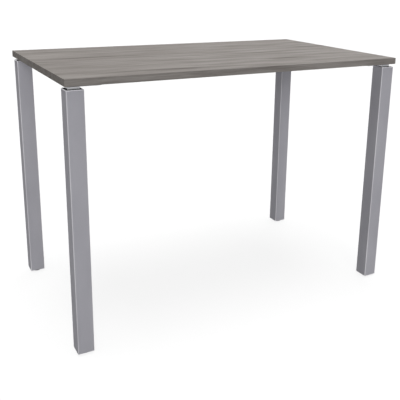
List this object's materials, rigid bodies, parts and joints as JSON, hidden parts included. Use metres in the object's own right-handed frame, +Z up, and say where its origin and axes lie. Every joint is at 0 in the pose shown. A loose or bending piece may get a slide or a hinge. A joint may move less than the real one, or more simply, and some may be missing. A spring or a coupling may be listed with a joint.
{
  "type": "standing meeting table",
  "caption": "Tall rectangular meeting table: grey woodgrain board on square silver corner posts, with a shadow gap at each post head and screw-adjusted levelling feet.",
  "frame": {"origin": "on the floor, under the middle of the board", "axes": "+X along the long side of the board, -Y the front, +Z up"},
  "size_m": [1.4, 0.8, 1],
  "materials": {
    "grey_oak_board": "matt grey oak melamine with long grain",
    "grey_oak_edge": "matt grey oak edge strip",
    "silver_paint": "fine-textured silver-grey powder coat",
    "bare_silver": "satin aluminium",
    "black_plastic": "matt black moulded plastic",
    "zinc_steel": "bright zinc plate",
    "grey_nylon": "matt grey nylon"
  },
  "bodies": {
    "table": {"board_core": "grey_oak_board", "edge_band_front": "grey_oak_edge", "edge_band_rear": "grey_oak_edge", "edge_band_left": "grey_oak_edge", "edge_band_right": "grey_oak_edge", "post_front_left": "silver_paint", "post_cap_front_left": "black_plastic", "spacer_front_left": "bare_silver", "plate_front_left": "silver_paint", "bolt_front_left_1": "zinc_steel", "bolt_front_left_2": "zinc_steel", "screw_front_left_1": "zinc_steel", "screw_front_left_2": "zinc_steel", "screw_front_left_3": "zinc_steel", "screw_front_left_4": "zinc_steel", "foot_plug_front_left": "black_plastic", "post_front_right": "silver_paint", "post_cap_front_right": "black_plastic", "spacer_front_right": "bare_silver", "plate_front_right": "silver_paint", "bolt_front_right_1": "zinc_steel", "bolt_front_right_2": "zinc_steel", "screw_front_right_1": "zinc_steel", "screw_front_right_2": "zinc_steel", "screw_front_right_3": "zinc_steel", "screw_front_right_4": "zinc_steel", "foot_plug_front_right": "black_plastic", "post_rear_left": "silver_paint", "post_cap_rear_left": "black_plastic", "spacer_rear_left": "bare_silver", "plate_rear_left": "silver_paint", "bolt_rear_left_1": "zinc_steel", "bolt_rear_left_2": "zinc_steel", "screw_rear_left_1": "zinc_steel", "screw_rear_left_2": "zinc_steel", "screw_rear_left_3": "zinc_steel", "screw_rear_left_4": "zinc_steel", "foot_plug_rear_left": "black_plastic", "post_rear_right": "silver_paint", "post_cap_rear_right": "black_plastic", "spacer_rear_right": "bare_silver", "plate_rear_right": "silver_paint", "bolt_rear_right_1": "zinc_steel", "bolt_rear_right_2": "zinc_steel", "screw_rear_right_1": "zinc_steel", "screw_rear_right_2": "zinc_steel", "screw_rear_right_3": "zinc_steel", "screw_rear_right_4": "zinc_steel", "foot_plug_rear_right": "black_plastic"},
    "sole_front_left": {"foot_sole_front_left": "grey_nylon"},
    "stud_front_left": {"foot_stud_front_left": "zinc_steel"},
    "sole_front_right": {"foot_sole_front_right": "grey_nylon"},
    "stud_front_right": {"foot_stud_front_right": "zinc_steel"},
    "sole_rear_left": {"foot_sole_rear_left": "grey_nylon"},
    "stud_rear_left": {"foot_stud_rear_left": "zinc_steel"},
    "sole_rear_right": {"foot_sole_rear_right": "grey_nylon"},
    "stud_rear_right": {"foot_stud_rear_right": "zinc_steel"}
  },
  "joints": [
    {"name": "foot_height_front_left", "type": "slide", "parent": "table", "child": "sole_front_left", "axis": [0, 0, -1], "range_m": [0, 0.015]},
    {"name": "stud_turn_front_left", "type": "hinge", "parent": "sole_front_left", "child": "stud_front_left", "pos_m": [-0.665, -0.365, 0.006], "axis": [0, 0, -1], "range_deg": [0, 3600]},
    {"name": "foot_height_front_right", "type": "slide", "parent": "table", "child": "sole_front_right", "axis": [0, 0, -1], "range_m": [0, 0.015]},
    {"name": "stud_turn_front_right", "type": "hinge", "parent": "sole_front_right", "child": "stud_front_right", "pos_m": [0.665, -0.365, 0.006], "axis": [0, 0, -1], "range_deg": [0, 3600]},
    {"name": "foot_height_rear_left", "type": "slide", "parent": "table", "child": "sole_rear_left", "axis": [0, 0, -1], "range_m": [0, 0.015]},
    {"name": "stud_turn_rear_left", "type": "hinge", "parent": "sole_rear_left", "child": "stud_rear_left", "pos_m": [-0.665, 0.365, 0.006], "axis": [0, 0, -1], "range_deg": [0, 3600]},
    {"name": "foot_height_rear_right", "type": "slide", "parent": "table", "child": "sole_rear_right", "axis": [0, 0, -1], "range_m": [0, 0.015]},
    {"name": "stud_turn_rear_right", "type": "hinge", "parent": "sole_rear_right", "child": "stud_rear_right", "pos_m": [0.665, 0.365, 0.006], "axis": [0, 0, -1], "range_deg": [0, 3600]}
  ],
  "couplings": [
    {"joint": "stud_turn_front_left", "follows": "foot_height_front_left", "rad_per_m": 4188.8},
    {"joint": "stud_turn_front_right", "follows": "foot_height_front_right", "rad_per_m": 4188.8},
    {"joint": "stud_turn_rear_left", "follows": "foot_height_rear_left", "rad_per_m": 4188.8},
    {"joint": "stud_turn_rear_right", "follows": "foot_height_rear_right", "rad_per_m": 4188.8}
  ]
}
